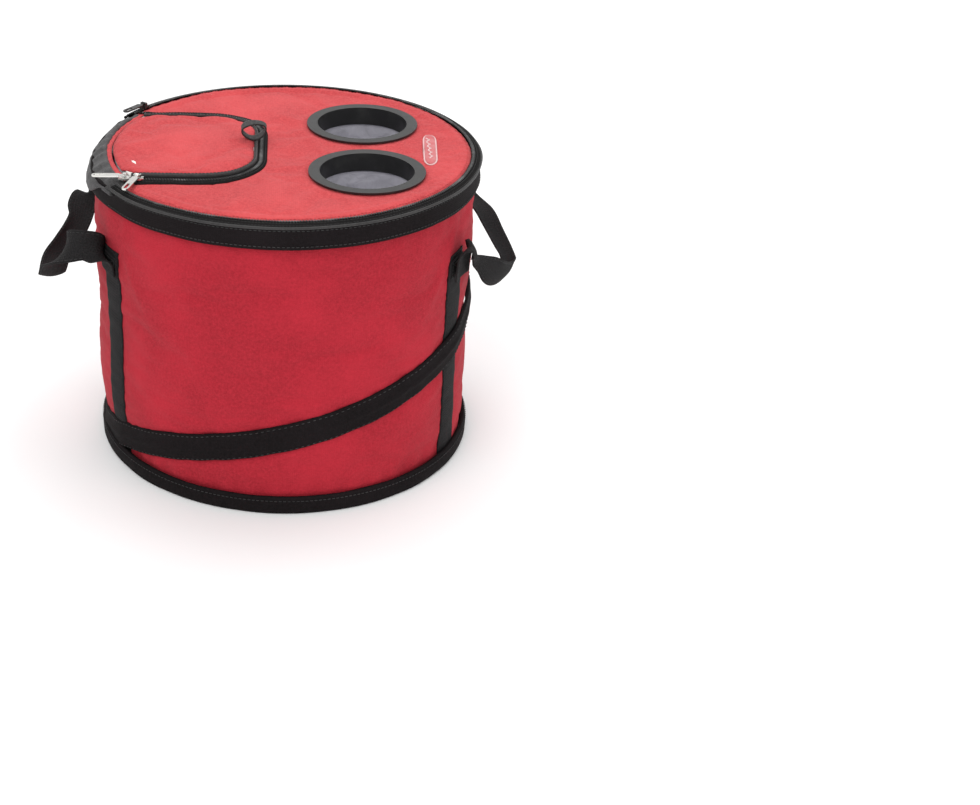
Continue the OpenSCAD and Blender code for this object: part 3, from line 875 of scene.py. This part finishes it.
def make_badge():
    def outline(grow):
        loop = []
        for side, start in ((1, 0.0), (-1, math.pi)):
            for t in spread(start, start + math.pi, 13):
                y = side * 25 + (15 + grow) * math.sin(t)
                loop.append((137.5 + 0.05 * y + (6.6 + grow) * math.cos(t), y - 5))
        return loop

    for name, grow, rise, material in (("badge_rim", 0.0, 1.0, BADGE_EDGE),
                                       ("badge_field", -1.4, 1.5, BADGE)):
        made = panel(name, outline(grow), [],
                     lambda x, y, rise=rise: lid_height(x, y) + rise, material, spacing=2.5)
        thicken(made, 1.0)
        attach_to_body(made, "lid")
        if name == "badge_rim":
            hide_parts("badge")
    parts = []
    for i in range(5):
        y = -5 + (i - 2) * 11
        top = lid_height(137, y) + 1.65
        parts.append(block((137, y, top), (0.5, 1, 0), (0, 0, 1), (7.5, 1.3, 0.9)))
        parts.append(block((137, y + 4, top), (-0.5, 1, 0), (0, 0, 1), (7.5, 1.3, 0.9)))
    zigzag = merged("badge_zigzag", parts, BADGE_EDGE)
    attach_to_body(zigzag, "lid")


# ---------------------------------------------------------------- flap

def flap_height(x, y):
    """Top of the padded flap: it stands proud of the lid and rounds down at its edge."""
    edge = min(max(flap_depth(x, y), 0.0), max(FLAP_LEFT_R - math.hypot(x, y), 0.0) + 1.0)
    rise = 3.6 * (1 - math.exp(-edge / 3.0)) + 0.9
    soft = 0.9 * wrinkle(x, y, 20, 40) + 0.4 * wrinkle(x, y, 31, 14)
    quilt = 0.5 * bump_at(edge, 0, 9) * math.sin((x + y) / 4.6)
    return lid_height(x, y) + rise + soft + quilt


def strip(name, profile, left_x, material, body, node, slot, thickness):
    """A strip along the flap's U. profile is offsets and heights above the lid."""
    lines = [flap_path(grow, left_x) for grow, _ in profile]
    points, uvs, faces = [], [], []
    run = 0.0
    for i in range(len(lines[0])):
        if i:
            (x0, y0), (x1, y1) = lines[0][i - 1][0], lines[0][i][0]
            run += math.hypot(x1 - x0, y1 - y0)
        for line, (grow, height) in zip(lines, profile):
            x, y = line[i][0]
            points.append((x, y, lid_height(x, y) + height + 0.3 * wrinkle(x, y, grow, 9)))
            uvs.append((run, grow))
    width = len(profile)
    for i in range(len(lines[0]) - 1):
        for k in range(width - 1):
            a = i * width + k
            faces.append((a, a + 1, a + width + 1, a + width))
    made = mesh_from(name, points, faces, material, uvs)
    thicken(made, thickness)
    attach(made, body, slot, node)
    return made


def make_flap():
    cover = panel("flap_cover_cloth", flap_loop(-2.0, FLAP_LEFT_R, rounding=40), [], flap_height, TOP_CLOTH_PAINTED_LIGHT,
                  spacing=3.6)

    def held(x, y, z):
        return flap_depth(x, y) < 5 or math.hypot(x, y) > 160

    settle(cover, held, pressure=1.6, cap=2.0, spare=0.015)
    thicken(cover, 1.2)
    attach(cover, "flap", "red_polyester", "flap_cover")

    core = panel("flap_foam_pad", flap_loop(-3.0, 162.0), [],
                 lambda x, y: lid_height(x, y) + 2.6, FOAM, spacing=8.0)
    thicken(core, 4.0)
    attach(core, "flap", "white_foam", "flap_foam")
    def lining_height(x, y):
        return 291.8 + 0.5 * wrinkle(x, y, 3, 25)

    under = panel("flap_lining_film", flap_loop(-1.0, 164.0), [], lining_height, LINING, spacing=8.0)
    thicken(under, 0.6)
    attach(under, "flap", "silver_lining", "flap_lining")

    binding = [(-3.4, 3.4), (-3.2, 4.5), (-2.0, 5.1), (-0.4, 5.0), (0.8, 4.3), (1.3, 3.2), (1.2, 1.0),
               (0.4, -0.4)]
    strip("flap_edge_binding", binding, -142.0, BINDING, "flap", "flap_binding", "black_polyester", 0.8)
    path = [(x, y, lid_height(x, y) + 5.4) for (x, y), _ in even_path(-1.6, -140.0, 2.0)]
    stitches("flap_binding_stitches", path, [(0, 0, 1)] * len(path), "flap", pitch=3.4, length=2.2, thick=0.5)
    inner = [(0.6, 2.8), (2.4, 2.2), (4.2, 1.8), (5.2, 1.6)]
    strip("flap_inner_tape", inner, -128.0, TAPE, "flap", "flap_zip_tape", "zip_tape", 0.6)
    outer = [(6.8, 1.6), (8.0, 1.7), (10.0, 1.5), (12.2, 1.2), (13.6, 0.9), (14.2, 0.2)]
    strip("flap_outer_tape", outer, -148.0, TAPE, "lid", "flap_frame_tape", "zip_tape", 0.6)
    for row, grow in enumerate((8.8, 11.6)):
        path = [(x, y, lid_height(x, y) + 2.0 - row * 0.3) for (x, y), _ in even_path(grow, -148.0, 2.0)]
        stitches(f"flap_tape_stitches_{row}", path, [(0, 0, 1)] * len(path), "lid", pitch=3.0, length=2.0,
                 thick=0.5)

    def chain(left_x):
        rows = even_path(6.0, left_x, ZIP_PITCH)
        return [((x, y, lid_height(x, y) + 1.8), (nx, ny, 0)) for (x, y), (nx, ny) in rows]

    zip_teeth("flap_outer_teeth", chain(-146.0), 1, "lid", "flap_frame_teeth")
    zip_teeth("flap_inner_teeth", chain(-128.0), 0, "flap", "flap_zip_teeth")


def make_pull_loop():
    """A folded loop of tape, sewn into the flap's free end."""
    centre = Vector((-31, 10, lid_height(-31, 10) + 14.9))
    lean = Vector((0.0, -0.12, 0.99)).normalized()
    across = Vector((0.97, 0.2, 0.0)).normalized()
    width = lean.cross(across).normalized()

    def point(t, w):
        a = math.radians(t)
        egg = 1.0 - 0.25 * math.cos(a)
        base = centre + across * 11.5 * math.sin(a) * egg + lean * -8.2 * math.cos(a)
        return base + width * w * (4.6 + 0.8 * math.sin(a * 2)) + across * 0.8 * w

    loop = sheet_grid("flap_tape_loop", point, spread(-180, 180, 50), spread(-1, 1, 7), BINDING,
                      uv=lambda t, w: (t * 0.2, w * 5))
    thicken(loop, 1.3, offset=0.0)
    attach(loop, "flap", "black_webbing", "flap_pull_loop")


# ---------------------------------------------------------------- hinge fabric

def make_hinge():
    """The doubled fabric that the lid turns on, from the top band up over the edge to the flap and lid."""
    profile = [
        (186.6, 270.2), (187.4, 271.6), (188.0, 275.0), (188.2, 279.5), (188.0, 284.0), (187.0, 288.0),
        (185.0, 290.8), (182.2, 293.2), (179.4, 295.4), (176.6, 297.6), (174.6, 298.6), (172.4, 298.6),
        (170.6, 297.2),
    ]
    moves = [1, 1, 1, 1, 1, 1, 1, 0.8, 0.5, 0.2, 0, 0, 0]
    last = len(profile) - 1
    low, turn = profile[0][1], profile[6][1]

    def point(angle, k):
        r, z = profile[k]
        ends = smooth_step(HINGE_FROM, HINGE_FROM + 7, angle) * smooth_step(HINGE_TO, HINGE_TO - 5, angle)
        cut = 20.0 * (smooth_step(193, 209, angle) + smooth_step(168, 154, angle))
        if z < turn:
            z = low + cut + (z - low) * (turn - low - cut) / (turn - low)
        x, y, _ = ring_point(angle, 185, 0)
        pleats = 0.8 * math.sin(math.radians(angle) * 58 + 4 * wrinkle(x, y, 0, 25)) * bump_at(k, 8.5, 3)
        fold = 0.9 * wrinkle(x, y, z * 0.4, 13) + 1.0 * wrinkle(x, y, z, 26)
        bulge = 2.0 * bump_at(angle, 196, 14) * bump_at(k, 4, 3)
        r += moves[k] * rim_push(angle) + bulge + fold * (0.3 if k in (0, last) else 1.0) + 0.4 * pleats
        sag = rim_drop(angle) * (0.35 + 0.6 * k / last)
        z += pleats + 0.4 * fold - sag - 2.0 * bump_at(angle, 194, 14) * bump_at(k, 4, 3) - 1.6 * (1 - ends)
        return ring_point(angle, r - 1.4 * (1 - ends), z)

    hinge = sheet_grid(
        "hinge_fabric", point, spread(HINGE_FROM, HINGE_TO, 120), list(range(len(profile))), GREY,
        uv=lambda a, k: (math.radians(a) * 185, k * 4.0),
    )
    thicken(hinge, 1.2)
    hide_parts("lid_hinge")
    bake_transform(hinge)


# ---------------------------------------------------------------- handles

def smooth_through(points, count):
    """Evenly spaced points on a smooth curve through the given ones."""
    points = [np.array(p, float) for p in points]
    ends = [2 * points[0] - points[1]] + points + [2 * points[-1] - points[-2]]
    dense = []
    for i in range(1, len(ends) - 2):
        p0, p1, p2, p3 = ends[i - 1:i + 3]
        for t in np.linspace(0, 1, 24, endpoint=False):
            dense.append(0.5 * (2 * p1 + (p2 - p0) * t + (2 * p0 - 5 * p1 + 4 * p2 - p3) * t ** 2
                                + (3 * p1 - p0 - 3 * p2 + p3) * t ** 3))
    dense.append(points[-1])
    dense = np.array(dense)
    run = np.concatenate([[0], np.cumsum(np.linalg.norm(np.diff(dense[:, :3], axis=0), axis=1))])
    at = np.linspace(0, run[-1], count)
    return np.stack([np.interp(at, run, dense[:, k]) for k in range(dense.shape[1])], axis=1), run[-1]


def webbing_strip(name, stations, body, node):
    """A strip of webbing through stations: x, y, z, width direction x, y, z, and share of the width shown."""
    rows, length = smooth_through(stations, 150)
    middles = rows[:, :3]
    along = np.gradient(middles, axis=0)
    along /= np.linalg.norm(along, axis=1)[:, None]
    widths = rows[:, 3:6]
    share = rows[:, 6]
    widths = widths - along * (widths * along).sum(1)[:, None]
    widths /= np.linalg.norm(widths, axis=1)[:, None]

    def point(i, w):
        fold = math.sqrt(max(1 - share[i] ** 2, 0)) * 0.2
        curl = np.cross(widths[i], along[i]) * (1.2 + fold * WEBBING_W / 2) * (w * w)
        return tuple(middles[i] + widths[i] * w * share[i] * WEBBING_W / 2 + curl)

    made = sheet_grid(name, point, list(range(len(rows))), spread(-1, 1, 13), WEBBING,
                      uv=lambda i, w: (w * WEBBING_W / 2, i * length / len(rows)))
    thicken(made, 1.5, offset=0.0)
    attach(made, body, "black_webbing", node)
    edges = []
    for w in (-0.86, 0.86):
        normals = np.cross(along, widths)
        for face in (-1, 1):
            path = [Vector(point(i, w)) + Vector(normals[i]) * 0.8 * face for i in range(4, len(rows) - 4)]
            edges.append((path, [Vector(n) * face for n in normals[4:-4]]))
    for k, (path, normals) in enumerate(edges):
        stitches(f"{name}_stitches_{k}", path, normals, body, pitch=5.0, length=3.2, thick=0.6)


def make_handles():
    left = [
        (-167, -83, 202, -0.45, 0.9, 0, 1),
        (-168, -83.5, 213, -0.45, 0.9, 0.1, 1),
        (-172, -84, 222, -0.3, 0.7, 0.6, 1),
        (-180, -85, 228, -0.1, 0.2, 0.95, 1),
        (-190, -85, 230, 0.1, 0, 1, 1),
        (-200, -79, 226, 0.3, 0, 0.95, 1),
        (-208, -70, 217, 0.5, 0, 0.85, 1),
        (-216, -59, 203, 0.7, 0, 0.7, 0.95),
        (-222, -48, 188, 0.95, 0, 0.3, 0.9),
        (-226, -37, 176, 1, 0.05, 0.1, 0.85),
        (-228, -24, 171, 1, 0.1, 0, 0.8),
        (-229, -8, 172, 1, 0.2, -0.1, 0.8),
        (-228, 7, 175, 0.9, 0.3, -0.3, 0.8),
        (-221, 23, 182, 0.8, 0.3, -0.5, 0.8),
        (-214, 41, 188, 0.8, 0.2, -0.5, 0.8),
        (-209, 59, 194, 0.85, 0.2, -0.3, 0.8),
        (-208, 73, 201, 0.9, 0.4, 0, 0.95),
        (-205, 84, 208, 0.85, 0.3, 0.3, 0.9),
        (-197, 91, 213, 0.5, 0.3, 0.8, 0.8),
        (-186, 92, 213, 0.3, 0.2, 1, 0.9),
        (-164, 86, 214, 0.1, 0, 1, 1),
    ]
    right = [
        (164.5, -87.5, 202, 0.47, 0.88, 0, 1),
        (165, -88, 214, 0.47, 0.88, 0.1, 1),
        (167, -90, 227, 0.5, 0.85, 0, 1),
        (171.5, -90, 233, 0.4, 0.9, 0, 0.9),
        (177, -87, 227, 0.1, 0.95, 0.2, 0.7),
        (180, -84, 217, 0, 0.6, 0.8, 0.45),
        (187, -78, 209, 0.1, 0.3, 0.95, 0.6),
        (195.5, -69, 199, 0.2, 0.1, 1, 0.9),
        (204.5, -57, 190, 0.3, 0, 0.95, 0.9),
        (213, -42, 184, 0.4, 0.2, 0.85, 0.7),
        (219, -25, 181, 0.6, 0.3, 0.7, 0.5),
        (218, -8, 183, 0.9, 0.2, 0, 0.5),
        (213.5, 9, 188, 0.9, 0.3, -0.2, 0.65),
        (206, 29, 198, 0.9, 0.3, -0.3, 0.75),
        (199, 47, 208, 0.9, 0.2, -0.3, 0.8),
        (190, 64, 214, 0.9, 0.1, -0.4, 0.95),
        (181, 80, 217, 0.9, 0.1, -0.3, 0.95),
        (171, 89, 220, 0.6, 0.2, 0.3, 0.9),
        (158, 84, 216, 0.3, 0, 1, 1),
    ]
    webbing_strip("left_webbing_handle", left, "left_handle_body", "handle_left")
    webbing_strip("right_webbing_handle", right, "right_handle_body", "handle_right")

    for name, middle in STRAP_ANGLES.items():
        side = name.split("_")[0]
        half = math.degrees(WEBBING_W / 2 / WALL_R) * 1.04

        def patch_point(across, z, name=name, middle=middle, half=half):
            edge = strap_angle(name, z) + across * half
            lift = 0.35 * wrinkle(across * 9, z, middle, 9)
            r = wall_r(edge, z) + 3.2 + lift - 1.2 * abs(across) ** 6
            return ring_point(edge, r, z + 1.5 * (1 - across * across) * smooth_step(208, 220, z))

        patch = sheet_grid("anchor_patch_" + name, patch_point, spread(-1, 1, 11), spread(200, 220, 16),
                           WEBBING,
                           uv=lambda across, z: (across * WEBBING_W / 2, z))
        thicken(patch, 2.2)
        attach(patch, side + "_anchors", "black_webbing", "anchor_" + name)
        corners = [(-0.75, 203), (0.75, 203), (0.75, 217), (-0.75, 217), (-0.75, 203), (0.75, 217),
                   (0.75, 203), (-0.75, 217)]
        path = []
        for (a0, z0), (a1, z1) in zip(corners, corners[1:]):
            path += [Vector(patch_point(a0 + (a1 - a0) * t, z0 + (z1 - z0) * t)) for t in spread(0, 1, 12)]
        out = Vector(ring_point(middle, 1, 0))
        stitches("anchor_stitches_" + name, [p + out * 0.3 for p in path], [out] * len(path), side
                 + "_anchors",
                 pitch=3.4, length=2.4, thick=0.7)


# ---------------------------------------------------------------- CAD nodes shown as they are

def round_edges(obj, width):
    bevel = obj.modifiers.new("bevel", "BEVEL")
    bevel.width = width * MM
    bevel.segments = 2
    bevel.limit_method = "ANGLE"


def finish_cad_nodes():
    finishes = {
        "base_cover": BLACK, "base_ring_wire": STEEL, "base_board": BOARD, "base_foam": FOAM,
        "lining_floor": LINING, "cup_retainer_front": PLASTIC, "cup_retainer_back": PLASTIC,
        "cup_ring_front": PLASTIC, "cup_ring_back": PLASTIC, "rim_wire": STEEL,
        "main_slider": ENAMEL, "main_pull": ENAMEL, "flap_slider_left": NICKEL, "flap_pull_left": NICKEL,
        "flap_slider_right": NICKEL, "flap_pull_right": NICKEL,
    }
    for name, material in finishes.items():
        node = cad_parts[name]
        node.data.materials.clear()
        node.data.materials.append(material)
        round_edges(node, 0.25)


# ---------------------------------------------------------------- stage

def make_stage():
    def floor_point(x, y):
        rise = max(0.0, y - 900) ** 2 / 2600
        return (x, y, min(rise, 2600) - 0.2)

    floor = sheet_grid("floor", floor_point, spread(-4500, 4500, 30), spread(-2500, 4200, 60), BOARD)
    floor.data.materials.clear()
    material, shader = new_material("paper")
    place = add_node(material, "ShaderNodeTexCoord").outputs["Object"]
    grain = add_node(material, "ShaderNodeTexNoise", {"Vector": place, "Scale": 3.0, "Detail": 2.0})
    tone = mix_colours(material, grain.outputs["Fac"], (0.93, 0.93, 0.93), (0.97, 0.97, 0.97))
    material.node_tree.links.new(tone, shader.inputs["Base Color"])
    shader.inputs["Roughness"].default_value = 0.95
    floor.data.materials.append(material)

    def area(name, place_at, look_at, size, power):
        light = bpy.data.objects.new(name, bpy.data.lights.new(name, "AREA"))
        light.data.shape = "RECTANGLE"
        light.data.size, light.data.size_y = size
        light.data.energy = power
        light.location = place_at
        light.rotation_mode = "QUATERNION"
        light.rotation_quaternion = (Vector(look_at) - Vector(place_at)).to_track_quat("-Z", "Y")
        bpy.context.scene.collection.objects.link(light)

    area("key", (-0.9, -1.6, 2.3), (0, 0, 0.15), (1.6, 1.6), 26)
    area("fill", (1.9, -1.5, 1.2), (0, 0, 0.15), (1.6, 1.6), 10)
    area("top", (0.2, 0.8, 2.4), (0, 0, 0.2), (2.2, 1.6), 26)
    world = bpy.data.worlds.new("world")
    world.use_nodes = True
    world.node_tree.nodes["Background"].inputs["Color"].default_value = (1, 1, 1, 1)
    world.node_tree.nodes["Background"].inputs["Strength"].default_value = 0.75
    bpy.context.scene.world = world
    bpy.context.scene.view_settings.view_transform = "Standard"


make_wall()
make_straps()
make_spiral()
make_base()
make_rim()
make_main_zip()
make_lid()
make_cups()
make_badge()
make_flap()
make_pull_loop()
make_hinge()
make_handles()
finish_cad_nodes()
make_stage()
